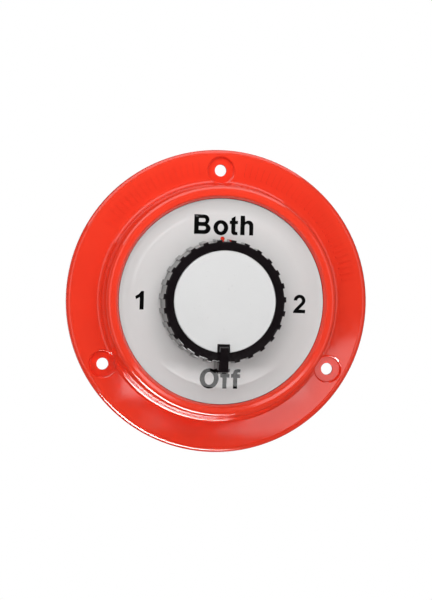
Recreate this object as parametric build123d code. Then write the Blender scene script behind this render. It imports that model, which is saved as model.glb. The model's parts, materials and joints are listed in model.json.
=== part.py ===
from build123d import *
import os
from math import cos, radians, sin

# Marine battery selector switch: four positions (off, 1, both, 2), panel mounted on a three-screw flange.
#
# Everything is modelled with the switch axis along Z, towards the user, and Y up. The panel's surface is
# z = 0: the flange lies in front of it and the body passes through the panel's cut-out behind it. On export
# the model is turned so that the front faces -Y and +Z is up. At rest the knob points down, to off.

INCH = 25.4
ROW = Rot(90, 0, 0)

# ---- flange and panel interface ----
FLANGE_R = 5.125 * INCH / 2
FLANGE_T = 4.0
FLANGE_EDGE_R = 2.4
SCREW_CIRCLE_R = 56.2
SCREW_HOLE_R = 2.55
COUNTERBORE_R = 5.7
COUNTERBORE_DEPTH = 1.9
COUNTERBORE_FLARE = 0.4
SCREW_ANGLES = (90, 210, 330)

# ---- low bars on the flange's face ----
BAR_LENGTH = 6.0
BAR_WIDE = 1.1
BAR_HIGH = 0.5
BAR_PLACE_R = 57.6
BAR_PITCH = 2.6

# ---- raised collar and dial recess ----
COLLAR_BASE_R = 50.6
COLLAR_TOP_R = 48.7
COLLAR_TOP_Z = 20.0
COLLAR_ROUND = 2.4
LIP_ROUND = 0.9
COLLAR_FOOT_ROUND = 2.2
LIP_R = 43.7
LIP_Z = 17.7
DIAL_R = LIP_R - 0.2
DIAL_FLOOR_Z = 14.9
DIAL_FLOOR_R = 36.5
DIAL_RIM_Z = 16.9
DIAL_T = 2.5
SEAT_Z = DIAL_FLOOR_Z - DIAL_T
PEG_R = 0.85
PEG_PLACE_R = 26.6

# ---- body behind the panel ----
SKIRT_R = 46.8
WALL = 2.6
SKIRT_IN_R = SKIRT_R - WALL
SKIRT_END_Z = -24.0
WEB_T = 3.0
WEB_BACK_Z = SEAT_Z - WEB_T
GASKET_T = 0.8
BASE_STEP_Z = SKIRT_END_Z
BASE_RIM_Z = SKIRT_END_Z - GASKET_T
BASE_BACK_Z = -30.0
COVER_SCREW_R = 39.0
BOSS_R = 4.0
TAPPING_HOLE_R = 1.8
COVER_SCREW_ANGLES = (45, 135, 225, 315)

# ---- shaft, bushing and seal ----
RUNNING_GAP = 0.05
SHAFT_R = 6.0
BUSHING_TOP_Z = 15.6
BUSHING_END_Z = 5.0
BUSHING_R = 11.0
SQUARE = 9.0
SQUARE_TOP_Z = 22.0
RING_WIRE_R = 0.6
RING_Z = 9.9

# ---- detent cam and leaf springs ----
CAM_R = 19.0
CAM_TOP_Z = 4.2
CAM_END_Z = -2.2
NOTCH_R = 3.3
NOTCH_PLACE_R = 20.7
LEAF_T = 0.7
LEAF_WIDE = 5.5
LEAF_NOSE_X = 17.45
LEAF_NOSE_R = NOTCH_R - 0.3 - LEAF_T / 2
LEAF_X = 22.65
LEAF_HALF = 27.0

# ---- contact carrier, moving contact and its springs ----
CONTACT_Z = -17.0
TRACK_Z = CONTACT_Z - 0.05
CONTACT_T = 2.5
CONTACT_HALF_ANGLE = 68
CONTACT_R = 31.5
CONTACT_HUB_R = 14.0
CONTACT_HOLE_R = 3.95
CARRIER_R = 33.5
CARRIER_TOP_Z = -6.0
CARRIER_END_Z = -16.0
POCKET_TOP_Z = -11.5
POCKET_GAP = 0.25
SPRING_BORE_R = 5.6
SPRING_BORE_TOP_Z = 0.0
ARM_SPRING_PLACE_R = 23.0
ARM_SPRING_ANGLES = (-38, 38)
ARM_BORE_R = 4.0
ARM_BORE_TOP_Z = -7.5

# ---- studs and terminal hardware, 3/8 in ----
STUD_R = 0.375 * INCH / 2
THREAD_PITCH_R = 0.3344 * INCH / 2
STUD_PLACE_R = 27.0
STUD_ANGLES = {"stud_1": 150, "stud_2": 30, "stud_common": 270}
STUD_HEAD = 15.0
STUD_END_Z = -54.0
STUD_SEAT_Z = -31.0
POST_R = 3.6
RIVET_R = 3.0
COLLECTOR_R = 13.5
COLLECTOR_IN_R = 8.5
STRAP_WIDE = 14.0
STRAP_T = 2.5
WASHER_T = 1.65
JAM_NUT_T = 5.56
LOCK_WASHER_T = 2.4
NUT_T = 8.33
NUT_FLATS = 0.5625 * INCH
JAM_TOP_Z = STUD_SEAT_Z - WASHER_T
LOCK_TOP_Z = JAM_TOP_Z - JAM_NUT_T
NUT_TOP_Z = LOCK_TOP_Z - LOCK_WASHER_T
NUT_END_Z = NUT_TOP_Z - NUT_T

# ---- knob ----
KNOB_END_Z = 15.4
KNOB_TOP_Z = 29.7
KNOB_ROOT_R = 25.85
KNOB_TIP_R = 26.6
KNOB_DRAFT = 0.7
RIB_PITCHES = 27
RIB_WIDE = 2.3
KNOB_WALL = 2.6
CAP_POCKET_R = 21.65
CAP_POCKET_Z = 27.4
CAP_R = 21.45
CAP_TOP_Z = 29.4
KNOB_ROOF_Z = 24.9
HUB_R = 9.0
HUB_END_Z = 16.4
KNOB_SCREW_R = 2.0
POINTER_IN = 17.9
POINTER_OUT = 30.2
POINTER_TOP_Z = 32.0


# ---- helpers ----
def rod(radius, low, high, x=0.0, y=0.0):
    """A cylinder along Z from low to high."""
    return Pos(x, y, (low + high) / 2) * Cylinder(radius, high - low)


def ring(outer, inner, low, high, x=0.0, y=0.0):
    """A plain ring along Z from low to high."""
    return rod(outer, low, high, x, y) - rod(inner, low - 1, high + 1, x, y)


def block(x0, x1, y0, y1, z0, z1):
    """A box between three pairs of planes."""
    middle = Pos((x0 + x1) / 2, (y0 + y1) / 2, (z0 + z1) / 2)
    return middle * Box(x1 - x0, y1 - y0, z1 - z0)


def lathe(corners):
    """Turns a closed outline about Z. Each corner is (radius, z) or (radius, z, rounding)."""
    outline = make_face(Plane.XZ * Polyline(*[c[:2] for c in corners], close=True))
    for corner in corners:
        if len(corner) == 3:
            place = Vector(corner[0], 0, corner[1])
            nearest = outline.vertices().sort_by_distance(place)[0]
            outline = fillet(nearest, corner[2])
    return revolve(outline, Axis.Z)


def around(radius, degrees):
    """The point at that radius and angle from +X."""
    return radius * cos(radians(degrees)), radius * sin(radians(degrees))


def hex_prism(flats, low, high, x=0.0, y=0.0):
    """A hexagonal prism along Z."""
    profile = Pos(x, y, low) * RegularPolygon(flats / 2, 6, major_radius=False)
    return extrude(profile, high - low)


def spring(mean_r, wire_r, low, high, turns, x=0.0, y=0.0):
    """A compression spring whose wire fills the height from low to high."""
    height = high - low - 2 * wire_r
    path = Pos(x, y, low + wire_r) * Helix(height / turns, height, mean_r)
    profile = Plane(path @ 0, z_dir=path % 0) * Circle(wire_r)
    return sweep(profile, path, is_frenet=True)


# ---- fixed parts ----
def housing_form():
    """The housing's turned form: skirt, flange, collar, dial recess, web and bushing."""
    bore_r = SHAFT_R + RUNNING_GAP
    neck_r = BUSHING_R - 1.5
    return lathe(
        [
            (SKIRT_IN_R, SKIRT_END_Z),
            (SKIRT_R, SKIRT_END_Z),
            (SKIRT_R, 0),
            (FLANGE_R, 0, 0.5),
            (FLANGE_R, FLANGE_T, FLANGE_EDGE_R),
            (COLLAR_BASE_R, FLANGE_T, COLLAR_FOOT_ROUND),
            (COLLAR_TOP_R, COLLAR_TOP_Z, COLLAR_ROUND),
            (LIP_R + 1.1, COLLAR_TOP_Z, LIP_ROUND),
            (LIP_R, LIP_Z, 0.25),
            (LIP_R, SEAT_Z),
            (neck_r, SEAT_Z),
            (neck_r, BUSHING_TOP_Z),
            (bore_r, BUSHING_TOP_Z),
            (bore_r, BUSHING_END_Z),
            (BUSHING_R, BUSHING_END_Z),
            (BUSHING_R, WEB_BACK_Z),
            (SKIRT_IN_R, WEB_BACK_Z),
        ]
    )


def front_housing():
    """Red moulding: the turned form with screw holes, a peg, low bars, screw bosses and spring posts."""
    body = housing_form()
    for angle in SCREW_ANGLES:
        x, y = around(SCREW_CIRCLE_R, angle)
        floor_z = FLANGE_T - COUNTERBORE_DEPTH
        body -= Pos(x, y, 0) * counterbore(floor_z) - rod(COLLAR_BASE_R + 0.2, floor_z - 1, COLLAR_TOP_Z)
        body -= rod(SCREW_HOLE_R, -1, FLANGE_T + 1, x, y)
    body += rod(PEG_R, SEAT_Z - 1, DIAL_FLOOR_Z - 0.1, 0, PEG_PLACE_R)
    body += flange_bars()
    for angle in COVER_SCREW_ANGLES:
        x, y = around(COVER_SCREW_R, angle)
        body += rod(BOSS_R, SKIRT_END_Z, WEB_BACK_Z + 1, x, y)
        body -= rod(TAPPING_HOLE_R, SKIRT_END_Z - 1, SKIRT_END_Z + 14, x, y)
    for side in (-1, 1):
        for end in (-1, 1):
            body += spring_post(side, end)
    return body


def counterbore(floor_z):
    """The form cut for a screw's head: a round floor and a rim that flares at the flange's face."""
    rim_r = COUNTERBORE_R + COUNTERBORE_FLARE
    top_z = FLANGE_T + COLLAR_FOOT_ROUND
    return lathe(
        [
            (0, floor_z),
            (COUNTERBORE_R, floor_z, 0.4),
            (COUNTERBORE_R, FLANGE_T - COUNTERBORE_FLARE),
            (rim_r, FLANGE_T),
            (rim_r, top_z),
            (0, top_z),
        ]
    )


def flange_bars():
    """Two arcs of low radial bars on the flange's face, either side of the top screw."""
    root = 0.4
    bar = Pos(BAR_PLACE_R, 0, FLANGE_T - root) * extrude(SlotOverall(BAR_LENGTH, BAR_WIDE), root + BAR_HIGH)
    first_left, last_left, first_right, last_right = 99, 146, 79, 11
    left = range(int((last_left - first_left) / BAR_PITCH) + 1)
    right = range(int((first_right - last_right) / BAR_PITCH) + 1)
    angles = [first_left + BAR_PITCH * n for n in left] + [first_right - BAR_PITCH * n for n in right]
    bars = Part()
    for angle in angles:
        bars += Rot(0, 0, angle) * bar
    return bars


def spring_post(side, end):
    """A pillar under the web with a slot that holds one end of a leaf spring."""
    y0, y1 = sorted((end * (LEAF_HALF - 4), end * (LEAF_HALF + 2)))
    s0, s1 = sorted((end * (LEAF_HALF - 5), end * (LEAF_HALF + 0.1)))
    pillar = block(LEAF_X - 3.2, LEAF_X + 3.2, y0, y1, CAM_END_Z - 0.5, WEB_BACK_Z + 1)
    gap = LEAF_T / 2 + 0.08
    slot = block(LEAF_X - gap, LEAF_X + gap, s0, s1, CAM_END_Z - 1, CAM_TOP_Z + 0.2)
    post = pillar - slot
    return post if side > 0 else mirror(post, Plane.YZ)


def dial_plate():
    """White dial: a flat floor that sweeps up to the collar's lip."""
    cove = make_face(
        Plane.XZ
        * (
            Line((BUSHING_R - 1.3, SEAT_Z), (DIAL_R, SEAT_Z))
            + Line((DIAL_R, SEAT_Z), (DIAL_R, DIAL_RIM_Z))
            + TangentArc((DIAL_FLOOR_R, DIAL_FLOOR_Z), (DIAL_R, DIAL_RIM_Z), tangent=(1, 0))
            + Line((DIAL_FLOOR_R, DIAL_FLOOR_Z), (BUSHING_R - 1.3, DIAL_FLOOR_Z))
            + Line((BUSHING_R - 1.3, DIAL_FLOOR_Z), (BUSHING_R - 1.3, SEAT_Z))
        )
    )
    return revolve(cove, Axis.Z) - rod(PEG_R + 0.1, SEAT_Z - 1, DIAL_RIM_Z, 0, PEG_PLACE_R)


def leaf_spring(side):
    """Detent spring: a strip of spring steel with a nose that rests in a notch of the cam."""
    nose_half = 6.5
    points = [
        (LEAF_X, -LEAF_HALF),
        (LEAF_X, -nose_half),
        (LEAF_NOSE_X, 0),
        (LEAF_X, nose_half),
        (LEAF_X, LEAF_HALF),
    ]
    path = FilletPolyline(*points, radius=LEAF_NOSE_R)
    profile = Plane(path @ 0, x_dir=(1, 0, 0), z_dir=path % 0) * Rectangle(LEAF_T, LEAF_WIDE)
    strip = Pos(0, 0, (CAM_TOP_Z + CAM_END_Z) / 2) * sweep(profile, path)
    return strip if side > 0 else mirror(strip, Plane.YZ)


def thrust_washer():
    return ring(BUSHING_R - 0.2, SHAFT_R + 0.3, BUSHING_END_Z - 0.6, BUSHING_END_Z)


def contact_outline(grow=0.0):
    """The moving contact's plan: a round hub and a sector arm that points down."""
    reach = CONTACT_R + grow
    half = CONTACT_HALF_ANGLE
    side_x, side_y = around(reach, -90 + half)
    tip = (0, -reach)
    arm = make_face(
        Line((0, 0), (side_x, side_y))
        + ThreePointArc((side_x, side_y), tip, (-side_x, side_y))
        + Line((-side_x, side_y), (0, 0))
    )
    if grow:
        arm = offset(arm, grow) & Circle(reach)
    plan = arm + Circle(CONTACT_HUB_R + grow)
    return fillet(plan.vertices().filter_by(lambda v: abs(v.Y) > 2), 2.0 + grow)


def moving_contact():
    plate = Pos(0, 0, CONTACT_Z) * extrude(contact_outline(), CONTACT_T)
    return plate - rod(CONTACT_HOLE_R, CONTACT_Z - 1, CONTACT_Z + CONTACT_T + 1)


def stud_block(low, high, grow=0.0):
    """The square head's form, standing on +X."""
    side = STUD_HEAD + 2 * grow
    plan = Pos(STUD_PLACE_R, 0, low) * RectangleRounded(side, side, 2.0)
    return extrude(plan, high - low)


def rear_base():
    """Black moulded base: closes the skirt, holds the studs and carries the contact track."""
    base = rod(SKIRT_R, BASE_BACK_Z, BASE_RIM_Z) + rod(SKIRT_IN_R - 0.3, BASE_BACK_Z, BASE_STEP_Z)
    strap_floor_z = TRACK_Z - STRAP_T
    base += ring(34.0, 19.5, BASE_STEP_Z - 1, TRACK_Z)
    base += rod(15.0, BASE_STEP_Z - 1, strap_floor_z)
    base += rod(POST_R, BASE_STEP_Z - 1, -10.0)
    base -= block(-STRAP_WIDE / 2 - 0.4, STRAP_WIDE / 2 + 0.4, -35, -16, strap_floor_z, 0)
    base += block(-5, 5, -20, -14, BASE_STEP_Z - 1, strap_floor_z)
    barrier = block(5.0, 41.0, -1.3, 1.3, BASE_BACK_Z - 9.0, BASE_BACK_Z + 1)
    for angle in (90, 210, 330):
        base += Rot(0, 0, angle) * barrier
    base += rod(6.0, BASE_BACK_Z - 9.0, BASE_BACK_Z + 1)
    for angle in STUD_ANGLES.values():
        turn = Rot(0, 0, angle)
        base += turn * rod(11.0, STUD_SEAT_Z, BASE_BACK_Z + 1, STUD_PLACE_R)
        base -= turn * stud_block(BASE_STEP_Z - 0.5, -10.0, 0.15)
        base -= turn * rod(STUD_R + 0.12, STUD_SEAT_Z - 1, -10, STUD_PLACE_R)
    for angle in COVER_SCREW_ANGLES:
        x, y = around(COVER_SCREW_R, angle)
        base -= rod(1.95, BASE_BACK_Z - 1, 0, x, y)
        base -= rod(3.8, BASE_BACK_Z - 1, BASE_BACK_Z + 2.2, x, y)
    return base


def base_gasket():
    return ring(SKIRT_R, SKIRT_IN_R - 0.2, BASE_RIM_Z, SKIRT_END_Z)


def collector_plate():
    """Copper ring at the centre with a strap down to the common stud."""
    low = TRACK_Z - STRAP_T
    plan = Circle(COLLECTOR_R) + Pos(0, -STUD_PLACE_R / 2) * Rectangle(STRAP_WIDE, STUD_PLACE_R)
    plan += Pos(0, -STUD_PLACE_R) * Circle(STRAP_WIDE / 2)
    plan -= Circle(COLLECTOR_IN_R)
    plan -= Pos(0, -STUD_PLACE_R) * Circle(RIVET_R + 0.05)
    return Pos(0, 0, low) * extrude(plan, STRAP_T)


def stud(name):
    """A 3/8 in terminal stud, drawn at its thread's pitch radius where the nuts grip it.

    The square heads of studs 1 and 2 are the fixed contacts. The common stud is riveted to the strap instead.
    """
    common = name == "stud_common"
    head_top = TRACK_Z - STRAP_T if common else TRACK_Z
    shank = rod(STUD_R, STUD_END_Z, BASE_STEP_Z, STUD_PLACE_R)
    shank = chamfer(shank.edges().sort_by(Axis.Z)[0], 1.0)
    shank -= ring(STUD_R + 1, THREAD_PITCH_R, NUT_END_Z, JAM_TOP_Z, STUD_PLACE_R)
    made = shank + stud_block(BASE_STEP_Z - 0.5, head_top)
    if common:
        made += rod(RIVET_R, head_top - 1, TRACK_Z, STUD_PLACE_R)
    return Rot(0, 0, STUD_ANGLES[name]) * made


def on_studs(piece):
    """One copy of a piece on each stud, as separate solids."""
    return Compound([Rot(0, 0, angle) * Pos(STUD_PLACE_R, 0, 0) * piece for angle in STUD_ANGLES.values()])


def hex_nut(low, high):
    """A nut with both corners turned back."""
    corner_r = NUT_FLATS / 2 / cos(radians(30))
    nut = hex_prism(NUT_FLATS, low, high)
    turned = lathe(
        [
            (0, low),
            (corner_r - 1.3, low),
            (corner_r + 0.2, low + 0.85),
            (corner_r + 0.2, high - 0.85),
            (corner_r - 1.3, high),
            (0, high),
        ]
    )
    bore = rod(THREAD_PITCH_R + 0.04, low - 1, high + 1)
    mouth = lathe([(0, low - 0.01), (STUD_R + 0.5, low - 0.01), (THREAD_PITCH_R, low + 0.9), (0, low + 0.9)])
    return (nut & turned) - bore - mouth


def lock_washer(low, high):
    """A split spring washer with a slanting cut."""
    washer = ring(8.6, STUD_R + 0.1, low, high)
    cut = Pos(6.8, 0, (low + high) / 2) * Rot(35, 0, 0) * Box(6, 0.9, 8)
    return washer - cut


def cover_screws():
    """Four pan-head tapping screws that hold the base to the housing."""
    seat = BASE_BACK_Z + 2.2
    head = lathe([(0, seat - 2.1), (3.3, seat - 2.1, 1.2), (3.3, seat), (0, seat)])
    cross = block(-2.0, 2.0, -0.45, 0.45, seat - 3, seat - 1.0)
    head -= cross + Rot(0, 0, 90) * cross
    shank = chamfer(rod(1.75, seat - 0.5, seat + 15.5).edges().sort_by(Axis.Z)[-1], 1.0)
    screw = head + shank
    places = [around(COVER_SCREW_R, angle) for angle in COVER_SCREW_ANGLES]
    return Compound([Pos(x, y, 0) * screw for x, y in places])


# ---- turning parts ----
def knob():
    """Black grip: a ribbed shell with a raised pointer, a pocket for the cap and a square-socketed hub."""
    root = grip_form(KNOB_ROOT_R, 0.6)
    tips = grip_form(KNOB_TIP_R, 0.5)
    bars = Part()
    pitch = 360 / RIB_PITCHES
    for n in range(1, RIB_PITCHES):
        bars += Rot(0, 0, -90 + n * pitch) * block(20, 30, -RIB_WIDE / 2, RIB_WIDE / 2, 0, 40)
    made = root + (tips & bars)
    made -= rod(KNOB_ROOT_R - KNOB_WALL - 0.4, KNOB_END_Z - 1, KNOB_ROOF_Z)
    made -= rod(CAP_POCKET_R, CAP_POCKET_Z, KNOB_TOP_Z + 1)
    made += rod(HUB_R, HUB_END_Z, KNOB_ROOF_Z + 1)
    for angle in range(0, 180, 60):
        made += Rot(0, 0, angle) * block(-23, 23, -0.9, 0.9, HUB_END_Z + 2.5, KNOB_ROOF_Z + 1)
    made += pointer()
    socket = SQUARE / 2 + 0.08
    made -= block(-socket, socket, -socket, socket, HUB_END_Z - 1, SQUARE_TOP_Z + 0.2)
    made -= rod(KNOB_SCREW_R + 0.15, 0, 40)
    made -= rod(4.8, SQUARE_TOP_Z + 2.2, 40)
    return made


def grip_form(radius, rounding):
    """A drafted cone frustum with a rounded top edge."""
    return lathe(
        [
            (0, KNOB_END_Z),
            (radius, KNOB_END_Z, 0.3),
            (radius - KNOB_DRAFT, KNOB_TOP_Z, rounding),
            (0, KNOB_TOP_Z),
        ]
    )


def pointer():
    """A wedge on the knob that stands highest at its inner end and runs out over the edge."""
    foot = make_face(
        Polyline(
            (-2.55, -POINTER_IN, CAP_POCKET_Z),
            (2.55, -POINTER_IN, CAP_POCKET_Z),
            (2.3, -POINTER_OUT, CAP_POCKET_Z),
            (-2.3, -POINTER_OUT, CAP_POCKET_Z),
            close=True,
        )
    )
    crown = make_face(
        Polyline(
            (-1.65, -POINTER_IN - 1.3, POINTER_TOP_Z),
            (1.65, -POINTER_IN - 1.3, POINTER_TOP_Z),
            (2.15, -POINTER_OUT + 0.7, KNOB_TOP_Z + 0.4),
            (-2.15, -POINTER_OUT + 0.7, KNOB_TOP_Z + 0.4),
            close=True,
        )
    )
    wedge = loft([foot, crown], ruled=True)
    nose = block(-2.3, 2.3, -POINTER_OUT, -KNOB_ROOT_R + KNOB_WALL, KNOB_END_Z, CAP_POCKET_Z)
    return wedge + nose


def knob_cap():
    """White disc in the knob's top, notched for the pointer."""
    disc = lathe(
        [
            (0, CAP_POCKET_Z + 0.05),
            (CAP_R, CAP_POCKET_Z + 0.05),
            (CAP_R, CAP_TOP_Z, 0.35),
            (0, CAP_TOP_Z),
        ]
    )
    return disc - block(-2.7, 2.7, -CAP_R - 1, -POINTER_IN + 0.15, 20, 40)


def knob_screw():
    seat = SQUARE_TOP_Z + 3.0
    head = lathe([(0, seat), (4.0, seat), (4.0, seat + 2.2, 1.0), (0, seat + 2.2)])
    cross = block(-2.4, 2.4, -0.55, 0.55, seat + 1.0, seat + 3)
    head -= cross + Rot(0, 0, 90) * cross
    return head + rod(KNOB_SCREW_R, seat - 13, seat + 0.5)


def knob_washer():
    return ring(4.6, KNOB_SCREW_R + 0.1, SQUARE_TOP_Z + 2.2, SQUARE_TOP_Z + 3.0)


def rotor():
    """Shaft, four-notch detent cam and contact carrier in one moulding."""
    shaft = rod(SHAFT_R, CAM_TOP_Z - 1, BUSHING_TOP_Z + 0.3)
    corner_cut = rod(SHAFT_R, BUSHING_TOP_Z, SQUARE_TOP_Z)
    square = block(-SQUARE / 2, SQUARE / 2, -SQUARE / 2, SQUARE / 2, BUSHING_TOP_Z, SQUARE_TOP_Z)
    shaft += square & corner_cut
    shaft -= ring(SHAFT_R + 1, SHAFT_R - 2 * RING_WIRE_R, RING_Z - 0.8, RING_Z + 0.8)
    shaft -= rod(KNOB_SCREW_R + 0.05, SQUARE_TOP_Z - 11, SQUARE_TOP_Z + 1)
    plan = Circle(CAM_R)
    for angle in range(0, 360, 90):
        x, y = around(NOTCH_PLACE_R, angle)
        plan -= Pos(x, y) * Circle(NOTCH_R)
    plan = fillet(plan.vertices(), 1.0)
    cam = Pos(0, 0, CAM_END_Z) * extrude(plan, CAM_TOP_Z - CAM_END_Z)
    carrier = rod(CARRIER_R, CARRIER_END_Z, CARRIER_TOP_Z)
    carrier += rod(BUSHING_R, CARRIER_TOP_Z - 1, CAM_END_Z + 1)
    pocket = extrude(contact_outline(POCKET_GAP), POCKET_TOP_Z - CARRIER_END_Z + 1)
    carrier -= Pos(0, 0, CARRIER_END_Z - 1) * pocket
    made = shaft + cam + carrier
    made -= rod(SPRING_BORE_R, POCKET_TOP_Z - 1, SPRING_BORE_TOP_Z)
    for angle in ARM_SPRING_ANGLES:
        x, y = around(ARM_SPRING_PLACE_R, angle - 90)
        made -= rod(ARM_BORE_R, POCKET_TOP_Z - 1, ARM_BORE_TOP_Z, x, y)
    return made


def shaft_ring():
    """Rubber O-ring in the shaft's groove, a hair clear of the bushing."""
    middle_r = SHAFT_R - RING_WIRE_R + 0.02
    return Pos(0, 0, RING_Z) * Torus(middle_r, RING_WIRE_R)


def centre_spring():
    return spring(4.85, 0.5, CONTACT_Z + CONTACT_T, SPRING_BORE_TOP_Z, 6)


def arm_springs():
    places = [around(ARM_SPRING_PLACE_R, angle - 90) for angle in ARM_SPRING_ANGLES]
    low = CONTACT_Z + CONTACT_T
    return Compound([spring(3.1, 0.4, low, ARM_BORE_TOP_Z, 4, x, y) for x, y in places])


NODES = {
    "front_housing": front_housing,
    "dial_plate": dial_plate,
    "detent_spring_left": lambda: leaf_spring(-1),
    "detent_spring_right": lambda: leaf_spring(1),
    "thrust_washer": thrust_washer,
    "rear_base": rear_base,
    "base_gasket": base_gasket,
    "cover_screws": cover_screws,
    "collector_plate": collector_plate,
    "stud_1": lambda: stud("stud_1"),
    "stud_2": lambda: stud("stud_2"),
    "stud_common": lambda: stud("stud_common"),
    "stud_washers": lambda: on_studs(ring(10.3, STUD_R + 0.4, JAM_TOP_Z, STUD_SEAT_Z)),
    "jam_nuts": lambda: on_studs(hex_nut(LOCK_TOP_Z, JAM_TOP_Z)),
    "lock_washers": lambda: on_studs(lock_washer(NUT_TOP_Z, LOCK_TOP_Z)),
    "terminal_nuts": lambda: on_studs(hex_nut(NUT_END_Z, NUT_TOP_Z)),
    "knob": knob,
    "knob_cap": knob_cap,
    "knob_screw": knob_screw,
    "knob_washer": knob_washer,
    "rotor": rotor,
    "shaft_ring": shaft_ring,
    "moving_contact": moving_contact,
    "centre_spring": centre_spring,
    "arm_springs": arm_springs,
}


def main():
    os.makedirs("parts", exist_ok=True)
    for name, make in NODES.items():
        shape = ROW * make()
        export_step(shape, f"parts/{name}.step")
        print(name, len(shape.solids()), round(shape.volume, 1))


main()
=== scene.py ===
import json
from math import cos, hypot, pi, radians, sin, sqrt

import bmesh
import bpy
from mathutils import Matrix, Vector


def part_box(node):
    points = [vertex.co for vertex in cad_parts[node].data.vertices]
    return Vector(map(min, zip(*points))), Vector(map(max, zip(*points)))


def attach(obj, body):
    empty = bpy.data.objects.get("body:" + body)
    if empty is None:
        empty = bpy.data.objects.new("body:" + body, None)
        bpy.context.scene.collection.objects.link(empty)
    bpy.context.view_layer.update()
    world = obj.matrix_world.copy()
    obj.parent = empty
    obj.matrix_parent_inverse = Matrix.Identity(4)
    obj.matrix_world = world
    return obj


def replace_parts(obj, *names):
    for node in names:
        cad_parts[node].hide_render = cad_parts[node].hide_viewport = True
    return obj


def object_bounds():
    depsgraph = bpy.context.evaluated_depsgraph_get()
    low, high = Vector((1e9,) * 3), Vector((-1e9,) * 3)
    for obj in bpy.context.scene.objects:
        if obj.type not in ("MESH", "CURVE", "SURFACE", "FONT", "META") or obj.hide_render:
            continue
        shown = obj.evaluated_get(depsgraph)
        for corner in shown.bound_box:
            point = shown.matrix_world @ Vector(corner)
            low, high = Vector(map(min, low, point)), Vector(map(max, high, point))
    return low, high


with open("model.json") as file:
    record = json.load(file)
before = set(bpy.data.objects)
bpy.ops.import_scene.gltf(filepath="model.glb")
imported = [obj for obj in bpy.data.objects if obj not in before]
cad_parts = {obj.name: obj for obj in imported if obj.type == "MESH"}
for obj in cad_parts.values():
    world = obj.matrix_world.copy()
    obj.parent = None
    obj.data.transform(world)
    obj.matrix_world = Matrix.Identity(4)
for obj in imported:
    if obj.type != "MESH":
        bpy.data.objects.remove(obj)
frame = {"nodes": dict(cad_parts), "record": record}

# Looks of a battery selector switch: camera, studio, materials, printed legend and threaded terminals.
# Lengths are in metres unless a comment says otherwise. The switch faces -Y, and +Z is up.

CAD_LOW, CAD_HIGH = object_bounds()
MM = 0.001
SCENE = bpy.context.scene
SCENE.view_settings.view_transform = "Standard"

# ---- camera: a little to the left of the switch's axis, aimed at the middle of its face ----
CAMERA_DISTANCE = 0.900
CAMERA_LEFT = 0.1100
CAMERA_ABOVE = 0.0070
CAMERA_ROLL = 1.575
CAMERA_LENS = 126.1
CAMERA_SENSOR = 36.0
CAMERA_NEAR = 0.01
CAMERA_FAR = 20.0
CAMERA_AIM = Vector((-0.25 * MM, 0, 0.42 * MM))


def make_camera():
    """The camera looks at its aim, then rolls about its own line of sight."""
    data = bpy.data.cameras.new("camera")
    data.sensor_fit = "AUTO"
    data.sensor_width = CAMERA_SENSOR
    data.lens = CAMERA_LENS
    data.clip_start = CAMERA_NEAR
    data.clip_end = CAMERA_FAR
    camera = bpy.data.objects.new("camera", data)
    SCENE.collection.objects.link(camera)
    place = Vector((-CAMERA_LEFT, -CAMERA_DISTANCE, CAMERA_ABOVE))
    level = (CAMERA_AIM - place).to_track_quat("-Z", "Y").to_matrix().to_4x4()
    roll = Matrix.Rotation(radians(CAMERA_ROLL), 4, "Z")
    camera.matrix_world = Matrix.Translation(place) @ level @ roll
    SCENE.camera = camera


make_camera()


# ---- studio ----
CENTRE = (0, 0, 0)
WHITE = (1, 1, 1, 1)
BLACK = (0, 0, 0, 1)
WORLD_FRONT = 0.04
WORLD_AROUND = 0.14
WORLD_SEEN = 1.0
# The world rises from its front to its around strength between these two y parts of the direction.
FRONT_Y = -0.98
AROUND_Y = -0.45
FLOOR_Z = CAD_LOW.z - 0.19
FLOOR_HALF = 2.0
FLOOR_FRONT = -2.5
FLOOR_BACK = 0.7
FLOOR_COLOUR = (0.85, 0.85, 0.85, 1)
FLOOR_ROUGHNESS = 0.6
FLOOR_GLOW = 0.3
FLOOR_GLOW_SEEN = 0.85

# Soft lights: name, size, place, power, and whether the gloss mirrors them.
LIGHTS = (
    ("key", (0.30, 0.20), (-0.02, -0.236, 0.185), 0.62, False),
    ("front", (0.50, 0.50), (-0.05, -0.62, 0.05), 0.36, False),
    ("below", (0.80, 0.30), (0.0, -0.46, -0.52), 1.6, False),
    ("left", (0.30, 0.60), (-0.46, -0.39, 0.0), 0.68, True),
    ("right", (0.30, 0.60), (0.46, -0.39, 0.0), 0.56, True),
    ("rear", (0.70, 0.50), (0.15, 0.55, 0.40), 1.6, True),
    ("rear_low", (0.70, 0.50), (-0.40, 0.60, -0.05), 0.8, True),
)

# Cards in the camera's plane: name, brightness, and where the flat faces mirror them,
# as an outline (x, z) in millimetres on the switch.
FRONT_CARDS = (
    (
        "dial_card",
        4.4,
        [(-40.0, -28.8), (40.0, -28.8), (40.0, -41.5), (-40.0, -41.5)],
    ),
    (
        "left_card",
        0.8,
        [
            (-32.0, -47.8),
            (-24.0, -48.7),
            (-19.0, -52.5),
            (-11.7, -55.5),
            (0.0, -56.0),
            (0.0, -57.0),
            (-32.0, -54.8),
        ],
    ),
    (
        "right_card",
        2.4,
        [
            (0.0, -56.0),
            (13.0, -52.0),
            (15.0, -42.5),
            (35.0, -27.5),
            (55.5, -15.0),
            (110.0, -2.5),
            (110.0, -62.5),
            (27.5, -57.3),
            (0.0, -57.0),
        ],
    ),
)

# Cards below and above the switch: name, brightness and corners.
SIDE_CARDS = (
    (
        "lower_left_box",
        32.0,
        [
            (-0.42, -0.12, -0.38),
            (-0.28, -0.01, -0.41),
            (-0.05, -0.04, -0.46),
            (0.15, -0.10, -0.50),
            (-0.05, -0.22, -0.46),
            (-0.28, -0.32, -0.41),
        ],
    ),
    (
        "sky",
        2.4,
        [(-0.50, -0.25, 0.30), (0.35, -0.25, 0.45), (0.35, 0.10, 0.45), (-0.50, 0.10, 0.30)],
    ),
)


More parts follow.
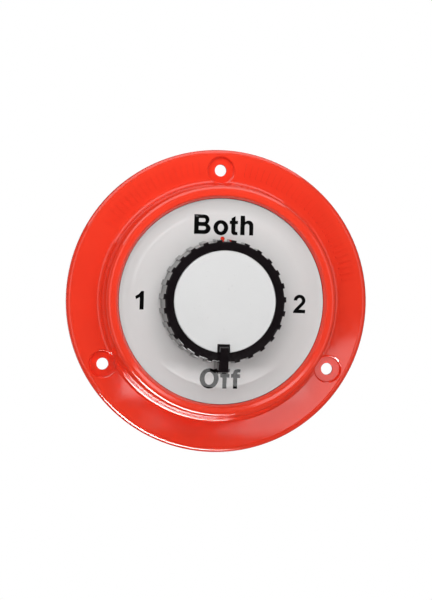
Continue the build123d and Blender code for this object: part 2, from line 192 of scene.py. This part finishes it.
def soft_light(name, size, place, power, mirrored):
    """A rectangular soft light turned to the switch."""
    data = bpy.data.lights.new(name, "AREA")
    data.shape = "RECTANGLE"
    data.size, data.size_y = size
    data.energy = power
    light = bpy.data.objects.new(name, data)
    light.location = place
    light.visible_camera = False
    light.visible_glossy = mirrored
    light.rotation_euler = (Vector(CENTRE) - Vector(place)).to_track_quat("-Z", "Y").to_euler()
    SCENE.collection.objects.link(light)


def white_card(name, corners, brightness):
    """A flat glowing card that only the gloss mirrors."""
    mesh = bpy.data.meshes.new(name)
    mesh.from_pydata(corners, [], [range(len(corners))])
    card = bpy.data.objects.new(name, mesh)
    SCENE.collection.objects.link(card)
    material = bpy.data.materials.new(name)
    material.use_nodes = True
    shader = material.node_tree.nodes["Principled BSDF"]
    shader.inputs["Base Color"].default_value = BLACK
    shader.inputs["Emission Color"].default_value = WHITE
    shader.inputs["Emission Strength"].default_value = brightness
    mesh.materials.append(material)
    card.visible_camera = False
    card.visible_diffuse = False
    card.visible_shadow = False


def mirrored_place(x, z):
    """Where the camera's plane is seen mirrored in a flat front-facing spot at (x, z) millimetres."""
    return 2 * x * MM + CAMERA_LEFT, -CAMERA_DISTANCE, 2 * z * MM - CAMERA_ABOVE


def make_world():
    """White to the camera. To the object it is an even grey with a dark hollow in front."""
    world = bpy.data.worlds.new("studio")
    world.use_nodes = True
    tree = world.node_tree
    background = tree.nodes["Background"]
    background.inputs["Color"].default_value = WHITE
    direction = tree.nodes.new("ShaderNodeTexCoord").outputs["Generated"]
    split = tree.nodes.new("ShaderNodeSeparateXYZ")
    tree.links.new(direction, split.inputs[0])
    around = tree.nodes.new("ShaderNodeMapRange")
    around.inputs["From Min"].default_value = FRONT_Y
    around.inputs["From Max"].default_value = AROUND_Y
    around.inputs["To Min"].default_value = WORLD_FRONT
    around.inputs["To Max"].default_value = WORLD_AROUND
    tree.links.new(split.outputs["Y"], around.inputs["Value"])
    seen = tree.nodes.new("ShaderNodeLightPath").outputs["Is Camera Ray"]
    mix = tree.nodes.new("ShaderNodeMix")
    mix.data_type = "FLOAT"
    tree.links.new(seen, mix.inputs["Factor"])
    tree.links.new(around.outputs[0], mix.inputs[2])
    mix.inputs[3].default_value = WORLD_SEEN
    tree.links.new(mix.outputs[0], background.inputs["Strength"])
    SCENE.world = world


def make_floor():
    """A plain pale floor, well below the switch, that glows more to the camera than to the switch."""
    left, right = -FLOOR_HALF, FLOOR_HALF
    corners = ((left, FLOOR_FRONT), (right, FLOOR_FRONT), (right, FLOOR_BACK), (left, FLOOR_BACK))
    mesh = bpy.data.meshes.new("floor")
    mesh.from_pydata([(x, y, FLOOR_Z) for x, y in corners], [], [(0, 1, 2, 3)])
    floor = bpy.data.objects.new("floor", mesh)
    SCENE.collection.objects.link(floor)
    material = bpy.data.materials.new("floor")
    material.use_nodes = True
    shader = material.node_tree.nodes["Principled BSDF"]
    shader.inputs["Base Color"].default_value = FLOOR_COLOUR
    shader.inputs["Roughness"].default_value = FLOOR_ROUGHNESS
    shader.inputs["Emission Color"].default_value = WHITE
    tree = material.node_tree
    seen = tree.nodes.new("ShaderNodeLightPath").outputs["Is Camera Ray"]
    glow = tree.nodes.new("ShaderNodeMapRange")
    glow.inputs["To Min"].default_value = FLOOR_GLOW
    glow.inputs["To Max"].default_value = FLOOR_GLOW_SEEN
    tree.links.new(seen, glow.inputs["Value"])
    tree.links.new(glow.outputs[0], shader.inputs["Emission Strength"])
    mesh.materials.append(material)
    floor.visible_glossy = False


def make_studio():
    make_world()
    make_floor()
    for name, size, place, power, mirrored in LIGHTS:
        soft_light(name, size, place, power, mirrored)
    for name, brightness, outline in FRONT_CARDS:
        white_card(name, [mirrored_place(x, z) for x, z in outline], brightness)
    for name, brightness, corners in SIDE_CARDS:
        white_card(name, corners, brightness)


make_studio()


# ---- materials ----
NOISE_LOW = 0.3
NOISE_HIGH = 0.7


class Recipe:
    """A Principled material with procedural detail in the object's own coordinates, in metres."""

    def __init__(self, name, colour, roughness, metallic=0.0, **sockets):
        self.material = bpy.data.materials.new(name)
        self.material.use_nodes = True
        self.tree = self.material.node_tree
        self.shader = self.tree.nodes["Principled BSDF"]
        self.colour = (*colour, 1.0)
        self.shader.inputs["Base Color"].default_value = self.colour
        self.shader.inputs["Roughness"].default_value = roughness
        self.shader.inputs["Metallic"].default_value = metallic
        for socket, value in sockets.items():
            self.shader.inputs[socket.replace("_", " ")].default_value = value
        self.place = self.add("ShaderNodeTexCoord").outputs["Object"]
        self.normal = None

    def add(self, kind, **settings):
        node = self.tree.nodes.new(kind)
        for key, value in settings.items():
            setattr(node, key, value)
        return node

    def link(self, start, end):
        self.tree.links.new(start, end)

    def noise(self, scale, detail=3.0, stretch=None):
        """Noise with that many cells a metre, stretched along an axis if asked."""
        node = self.add("ShaderNodeTexNoise")
        node.inputs["Scale"].default_value = scale
        node.inputs["Detail"].default_value = detail
        if stretch:
            mapping = self.add("ShaderNodeMapping")
            mapping.inputs["Scale"].default_value = stretch
            self.link(self.place, mapping.inputs["Vector"])
            self.link(mapping.outputs[0], node.inputs["Vector"])
        else:
            self.link(self.place, node.inputs["Vector"])
        return node.outputs["Fac"]

    def spread(self, value, low, high):
        """Maps the middle of a noise to a range."""
        node = self.add("ShaderNodeMapRange")
        node.inputs["From Min"].default_value = NOISE_LOW
        node.inputs["From Max"].default_value = NOISE_HIGH
        node.inputs["To Min"].default_value = low
        node.inputs["To Max"].default_value = high
        self.link(value, node.inputs["Value"])
        return node.outputs[0]

    def vary_colour(self, value, other, amount):
        """Mixes towards another colour by a 0 to 1 value."""
        mix = self.add("ShaderNodeMix", data_type="RGBA")
        mix.inputs[6].default_value = self.colour
        mix.inputs[7].default_value = (*other, 1.0)
        self.link(self.spread(value, 0.0, amount), mix.inputs["Factor"])
        self.link(mix.outputs[2], self.shader.inputs["Base Color"])

    def vary_roughness(self, value, low, high):
        self.link(self.spread(value, low, high), self.shader.inputs["Roughness"])

    def bump(self, value, depth):
        """Adds relief of that depth in metres."""
        node = self.add("ShaderNodeBump")
        node.inputs["Distance"].default_value = depth
        node.inputs["Strength"].default_value = 1.0
        self.link(value, node.inputs["Height"])
        if self.normal:
            self.link(self.normal, node.inputs["Normal"])
        self.normal = node.outputs[0]
        self.link(self.normal, self.shader.inputs["Normal"])


def glossy_red():
    r = Recipe("housing_red", (0.90, 0.050, 0.022), 0.04, IOR=1.5)
    r.vary_colour(r.noise(45, 4), (0.85, 0.040, 0.018), 0.6)
    r.vary_roughness(r.noise(260, 5), 0.03, 0.07)
    r.bump(r.noise(60, 1), 0.00002)
    return r


def glossy_white():
    r = Recipe("dial_white", (0.73, 0.72, 0.715), 0.05, IOR=1.5)
    r.vary_colour(r.noise(60, 4), (0.70, 0.69, 0.685), 0.6)
    r.vary_roughness(r.noise(300, 5), 0.03, 0.07)
    r.bump(r.noise(60, 1), 0.000005)
    return r


def satin_white():
    r = Recipe("cap_white", (0.70, 0.70, 0.70), 0.32)
    r.vary_colour(r.noise(70, 4), (0.67, 0.67, 0.67), 0.6)
    r.vary_roughness(r.noise(900, 5), 0.27, 0.38)
    r.bump(r.noise(2400, 4), 0.000006)
    return r


def glossy_black():
    r = Recipe("knob_black", (0.006, 0.004, 0.005), 0.10, IOR=1.5)
    r.vary_colour(r.noise(180, 5), (0.010, 0.007, 0.008), 0.8)
    r.vary_roughness(r.noise(700, 5), 0.02, 0.07)
    return r


def textured_black():
    r = Recipe("base_black", (0.018, 0.018, 0.019), 0.50)
    r.vary_colour(r.noise(220, 6), (0.030, 0.030, 0.031), 0.7)
    r.vary_roughness(r.noise(500, 6), 0.42, 0.62)
    r.bump(r.noise(3000, 6), 0.00004)
    r.bump(r.noise(90, 3), 0.00005)
    return r


def acetal():
    r = Recipe("rotor_plastic", (0.62, 0.60, 0.54), 0.38)
    r.vary_colour(r.noise(120, 4), (0.55, 0.53, 0.47), 0.7)
    r.vary_roughness(r.noise(600, 4), 0.30, 0.46)
    r.bump(r.noise(2000, 3), 0.00001)
    return r


def metal(name, colour, other, low, high, grain=(1, 1, 1)):
    """Worked metal: tone and roughness drift, and fine grain along one axis."""
    r = Recipe(name, colour, low, 1.0)
    r.vary_colour(r.noise(400, 6), other, 0.8)
    r.vary_roughness(r.noise(1400, 5, grain), low, high)
    r.bump(r.noise(5000, 4, grain), 0.000006)
    return r


def rubber():
    r = Recipe("seal_rubber", (0.022, 0.022, 0.022), 0.70)
    r.vary_colour(r.noise(500, 5), (0.040, 0.040, 0.040), 0.7)
    r.vary_roughness(r.noise(900, 4), 0.62, 0.82)
    r.bump(r.noise(4000, 4), 0.00002)
    return r


def ink():
    r = Recipe("legend_black", (0.001, 0.001, 0.001), 0.05, IOR=1.45)
    r.vary_colour(r.noise(900, 4), (0.005, 0.005, 0.005), 0.8)
    r.vary_roughness(r.noise(700, 5), 0.03, 0.07)
    return r


MATERIALS = {
    "housing_red": glossy_red(),
    "dial_white": glossy_white(),
    "cap_white": satin_white(),
    "knob_black": glossy_black(),
    "base_black": textured_black(),
    "rotor_plastic": acetal(),
    "copper": metal("copper", (0.80, 0.38, 0.24), (0.55, 0.24, 0.15), 0.22, 0.42),
    "stud_metal": metal("stud_metal", (0.74, 0.68, 0.55), (0.62, 0.55, 0.42), 0.24, 0.40),
    "zinc_steel": metal("zinc_steel", (0.68, 0.68, 0.69), (0.56, 0.56, 0.57), 0.18, 0.34, (1, 12, 1)),
    "spring_steel": metal("spring_steel", (0.52, 0.52, 0.54), (0.42, 0.42, 0.43), 0.22, 0.38),
    "seal_rubber": rubber(),
    "legend_black": ink(),
}


def finish_nodes():
    """Gives every CAD node the material of its slot."""
    for part in frame["record"]["subparts"]:
        mesh = frame["nodes"][part["node"]].data
        mesh.materials.clear()
        mesh.materials.append(MATERIALS[part["material_slot"]].material)


finish_nodes()


def piece(name, mesh, slot, body):
    """A new piece of the object, with its material, riding on a body."""
    made = bpy.data.objects.new(name, mesh)
    SCENE.collection.objects.link(made)
    mesh.materials.clear()
    mesh.materials.append(MATERIALS[slot].material)
    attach(made, body)
    return made


# ---- printed legend ----
DIAL_LOW, DIAL_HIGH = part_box("dial_plate")
DIAL_R = DIAL_HIGH.x
DIAL_RIM_Y = DIAL_LOW.y
DIAL_FLAT_R = 36.5 * MM
COVE_DEPTH = 2.0 * MM
DIAL_FLAT_Y = DIAL_RIM_Y + COVE_DEPTH
COVE_R = ((DIAL_R - DIAL_FLAT_R) ** 2 + COVE_DEPTH**2) / (2 * COVE_DEPTH)
INK_T = 0.05 * MM
INK_SPREAD = 0.13 * MM
INK_CELL = 0.6 * MM
INK_MERGE = 1e-7
CUT_HEIGHT = 1.1
CAP = 8.05 * MM
FIGURE = 7.6 * MM


def arc(x, y, rx, ry, start, end, steps=20):
    """Points along an elliptical arc, in degrees."""
    turn = [radians(start + (end - start) * n / steps) for n in range(steps + 1)]
    return [(x + rx * cos(a), y + ry * sin(a)) for a in turn]


def ellipse(x, y, rx, ry):
    return arc(x, y, rx, ry, 0, 348, 29)


# Letters in a plain bold sans, as outlines with the cap height as 1. The number is the letter's width.
LETTERS = {
    "B": (
        0.84,
        [
            [
                (0, 0),
                (0, 1),
                *arc(0.50, 0.745, 0.275, 0.255, 90, -57),
                *arc(0.52, 0.275, 0.32, 0.275, 62, -90),
            ],
            [(0.215, 0.835), *arc(0.50, 0.718, 0.10, 0.117, 90, -90), (0.215, 0.601)],
            [(0.215, 0.42), *arc(0.50, 0.30, 0.127, 0.12, 90, -90), (0.215, 0.18)],
        ],
    ),
    "o": (0.746, [ellipse(0.373, 0.345, 0.378, 0.385), ellipse(0.373, 0.345, 0.178, 0.22)]),
    "t": (
        0.40,
        [
            [
                (0, 0.572),
                (0.086, 0.572),
                *arc(0.256, 0.17, 0.17, 0.18, 180, 270, 8),
                (0.40, 0.0),
                (0.385, 0.13),
                *arc(0.322, 0.18, 0.05, 0.05, 270, 180, 6),
                (0.272, 0.572),
                (0.40, 0.572),
                (0.40, 0.71),
                (0.272, 0.71),
                (0.272, 0.95),
                (0.086, 0.85),
                (0.086, 0.71),
                (0, 0.71),
            ]
        ],
    ),
    "h": (
        0.66,
        [
            [
                (0, 0),
                (0, 1),
                (0.2, 1),
                *arc(0.42, 0.50, 0.24, 0.25, 145, 0),
                (0.66, 0),
                (0.475, 0),
                *arc(0.3375, 0.46, 0.1375, 0.14, 0, 180),
                (0.2, 0),
            ]
        ],
    ),
    "O": (0.974, [ellipse(0.487, 0.5, 0.487, 0.52), ellipse(0.487, 0.5, 0.268, 0.35)]),
    "f": (
        0.476,
        [
            [
                (0.116, 0),
                (0.116, 0.577),
                (0, 0.577),
                (0, 0.735),
                *arc(0.336, 0.78, 0.22, 0.225, 180, 90, 10),
                (0.476, 0.99),
                (0.455, 0.855),
                *arc(0.37, 0.80, 0.064, 0.062, 90, 180, 6),
                (0.306, 0.735),
                (0.45, 0.735),
                (0.45, 0.577),
                (0.306, 0.577),
                (0.306, 0),
            ]
        ],
    ),
    "1": (
        0.445,
        [
            [
                (0.248, 0),
                (0.248, 0.705),
                (0.15, 0.635),
                (0.03, 0.585),
                (0, 0.715),
                (0.19, 0.835),
                (0.325, 1.0),
                (0.445, 1.0),
                (0.445, 0),
            ]
        ],
    ),
    "2": (
        0.66,
        [
            [
                (0, 0),
                (0.03, 0.10),
                (0.11, 0.21),
                *arc(0.345, 0.68, 0.15, 0.17, -45, 172),
                *arc(0.345, 0.69, 0.315, 0.31, 177, -38),
                (0.27, 0.16),
                (0.66, 0.16),
                (0.66, 0),
            ]
        ],
    ),
}


def dial_y(x, z):
    """The dial's front surface at a point."""
    reach = hypot(x, z) - DIAL_FLAT_R
    if reach <= 0:
        return DIAL_FLAT_Y
    return DIAL_FLAT_Y - COVE_R + sqrt(COVE_R**2 - reach**2)


def ink_outline(name, word, height, gaps):
    """The word's letters as one flat curve round its middle, and the word's width."""
    width = sum(LETTERS[letter][0] + gap for letter, gap in zip(word, gaps))
    curve = bpy.data.curves.new(name, "CURVE")
    curve.dimensions = "2D"
    curve.fill_mode = "BOTH"
    curve.extrude = INK_T / 2
    curve.offset = INK_SPREAD
    cursor = -width / 2
    for letter, gap in zip(word, gaps):
        cursor += gap
        for outline in LETTERS[letter][1]:
            spline = curve.splines.new("POLY")
            spline.points.add(len(outline) - 1)
            spline.use_cyclic_u = True
            for point, (x, y) in zip(spline.points, outline):
                point.co = ((x + cursor) * height, (y - 0.5) * height, 0, 1)
        cursor += LETTERS[letter][0]
    return curve, width * height


def curve_mesh(curve):
    """The curve's filled form as a mesh."""
    holder = bpy.data.objects.new(curve.name + "_outline", curve)
    SCENE.collection.objects.link(holder)
    bpy.context.view_layer.update()
    shown = holder.evaluated_get(bpy.context.evaluated_depsgraph_get())
    mesh = bpy.data.meshes.new_from_object(shown)
    bpy.data.objects.remove(holder)
    return mesh


def cut_across(bm, axis, size):
    """Cuts a flat mesh into strips, so that it can bend."""
    cuts = int(size / INK_CELL)
    for n in range(1, cuts):
        place = axis * (size * (n / cuts - 0.5))
        everything = bm.verts[:] + bm.edges[:] + bm.faces[:]
        bmesh.ops.bisect_plane(bm, geom=everything, plane_co=place, plane_no=axis)


def print_word(name, word, height, middle, gaps):
    """A thin film of ink that follows the dial. Gaps are the spaces before each letter, in cap heights."""
    curve, width = ink_outline(name, word, height, gaps)
    mesh = curve_mesh(curve)
    bm = bmesh.new()
    bm.from_mesh(mesh)
    bmesh.ops.remove_doubles(bm, verts=bm.verts, dist=INK_MERGE)
    cut_across(bm, Vector((1, 0, 0)), width)
    cut_across(bm, Vector((0, 1, 0)), height * CUT_HEIGHT)
    for v in bm.verts:
        x, z = v.co.x + middle[0], v.co.y + middle[1]
        v.co = (x, dial_y(x, z) - v.co.z, z)
    bmesh.ops.recalc_face_normals(bm, faces=bm.faces)
    bm.to_mesh(mesh)
    bm.free()
    mesh.name = name
    piece(name, mesh, "legend_black", "housing")


print_word("legend_both", "Both", CAP, (0.4 * MM, 32.5 * MM), (0, 0.19, 0.11, 0.17))
print_word("legend_off", "Off", CAP, (0.6 * MM, -32.8 * MM), (0, 0.12, 0.09))
print_word("legend_1", "1", FIGURE, (-34.6 * MM, -0.4 * MM), (0,))
print_word("legend_2", "2", FIGURE, (33.7 * MM, -0.2 * MM), (0,))


# ---- threaded studs, 3/8 in ----
INCH = 25.4 * MM
STUD_R = 0.375 * INCH / 2
STUD_PLACE_R = 27.0 * MM
STUD_ANGLES = {"stud_1": 150, "stud_2": 30, "stud_common": 270}
STUD_CHAMFER = 1.2 * MM
STUD_HEAD = 15.0 * MM
HEAD_ROUND = 2.0 * MM
HEAD_FOOT_Y = 24.5 * MM
SHANK_Y = 24.2 * MM
RIVET_R = 3.0 * MM
RIVET_ROOT = 1.0 * MM
STRAP_T = 2.5 * MM
THREAD_PITCH = INCH / 16
THREAD_DEPTH = 0.61 * THREAD_PITCH
# The shares of half a pitch that the flat crest and the flank take. The rest is the flat root.
CREST = 0.14
FLANK = 0.64
THREAD_ROWS = 8
THREAD_SIDES = 48
THREAD_MERGE = 1e-6
THREAD_SLIVER = 1e-7
NUT_BORE_R = 0.3344 * INCH / 2
SMOOTH_BELOW = radians(25)
NUT_START_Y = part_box("jam_nuts")[0].y
NUT_END_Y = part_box("terminal_nuts")[1].y


def thread_radius(phase):
    """The thread's radius at a phase of 0 to 1 along its pitch: flat crest, sloping flanks, flat root."""
    away = abs(phase - 0.5) * 2
    return STUD_R - THREAD_DEPTH * min(1.0, max(0.0, (away - CREST) / FLANK))


def stud_radius(y, phase, end):
    """Plain in the base, reduced where the nuts grip, threaded where it shows, and chamfered at its end."""
    if y < NUT_START_Y:
        return STUD_R
    if y < NUT_END_Y:
        return NUT_BORE_R
    return min(thread_radius(phase), STUD_R - max(0.0, y - end + STUD_CHAMFER))


def add_prism(bm, outline, low, high):
    """A closed prism along Y, its ends' outlines given as (x, z)."""
    ends = [[bm.verts.new((x, y, z)) for x, z in outline] for y in (low, high)]
    for n in range(len(outline)):
        after = (n + 1) % len(outline)
        bm.faces.new((ends[0][n], ends[0][after], ends[1][after], ends[1][n]))
    for ring in ends:
        bm.faces.new(ring)


def add_shank(bm, x, z, start, end):
    """The shank, as a sheet wound round in step with its thread, closed at both ends."""
    grid = {}

    def vertex(row, side):
        if side == THREAD_SIDES:
            row, side = row + THREAD_ROWS, 0
        if (row, side) not in grid:
            along = (row / THREAD_ROWS + side / THREAD_SIDES) * THREAD_PITCH
            y = min(max(start - THREAD_PITCH + along, start), end)
            radius = stud_radius(y, (row % THREAD_ROWS) / THREAD_ROWS, end)
            angle = 2 * pi * side / THREAD_SIDES
            place = (x + radius * cos(angle), y, z + radius * sin(angle))
            grid[row, side] = bm.verts.new(place)
        return grid[row, side]

    turns = int((end - start) / THREAD_PITCH) + 2
    for row in range(turns * THREAD_ROWS):
        for side in range(THREAD_SIDES):
            near = [vertex(row, side), vertex(row, side + 1)]
            far = [vertex(row + 1, side + 1), vertex(row + 1, side)]
            bm.faces.new(near + far)
    bmesh.ops.remove_doubles(bm, verts=bm.verts, dist=THREAD_MERGE)
    bmesh.ops.dissolve_degenerate(bm, dist=THREAD_SLIVER, edges=bm.edges)
    bmesh.ops.holes_fill(bm, edges=bm.edges, sides=0)


def head_outline(x, z, turn):
    """The square head's rounded outline round (x, z), turned by that angle."""
    flat = STUD_HEAD / 2 - HEAD_ROUND
    outline = []
    for corner, (side, up) in enumerate(((1, 1), (-1, 1), (-1, -1), (1, -1))):
        start = 90 * corner
        outline += arc(side * flat, up * flat, HEAD_ROUND, HEAD_ROUND, start, start + 90, 6)
    return [(x + u * cos(turn) - v * sin(turn), z + u * sin(turn) + v * cos(turn)) for u, v in outline]


def threaded_stud(node, angle):
    """A terminal stud with a real helical thread, standing for the plain one."""
    low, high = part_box(node)
    turn = radians(angle)
    x, z = STUD_PLACE_R * cos(turn), STUD_PLACE_R * sin(turn)
    common = node == "stud_common"
    head_top = low.y + (STRAP_T if common else 0)
    bm = bmesh.new()
    add_shank(bm, x, z, SHANK_Y, high.y)
    add_prism(bm, head_outline(x, z, turn), head_top, HEAD_FOOT_Y)
    if common:
        add_prism(bm, arc(x, z, RIVET_R, RIVET_R, 0, 345, 23), low.y, head_top + RIVET_ROOT)
    bmesh.ops.recalc_face_normals(bm, faces=bm.faces)
    mesh = bpy.data.meshes.new(node + "_thread")
    bm.to_mesh(mesh)
    bm.free()
    mesh.shade_smooth()
    mesh.set_sharp_from_angle(angle=SMOOTH_BELOW)
    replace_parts(piece(node + "_threaded", mesh, "stud_metal", "housing"), node)


for node, angle in STUD_ANGLES.items():
    threaded_stud(node, angle)
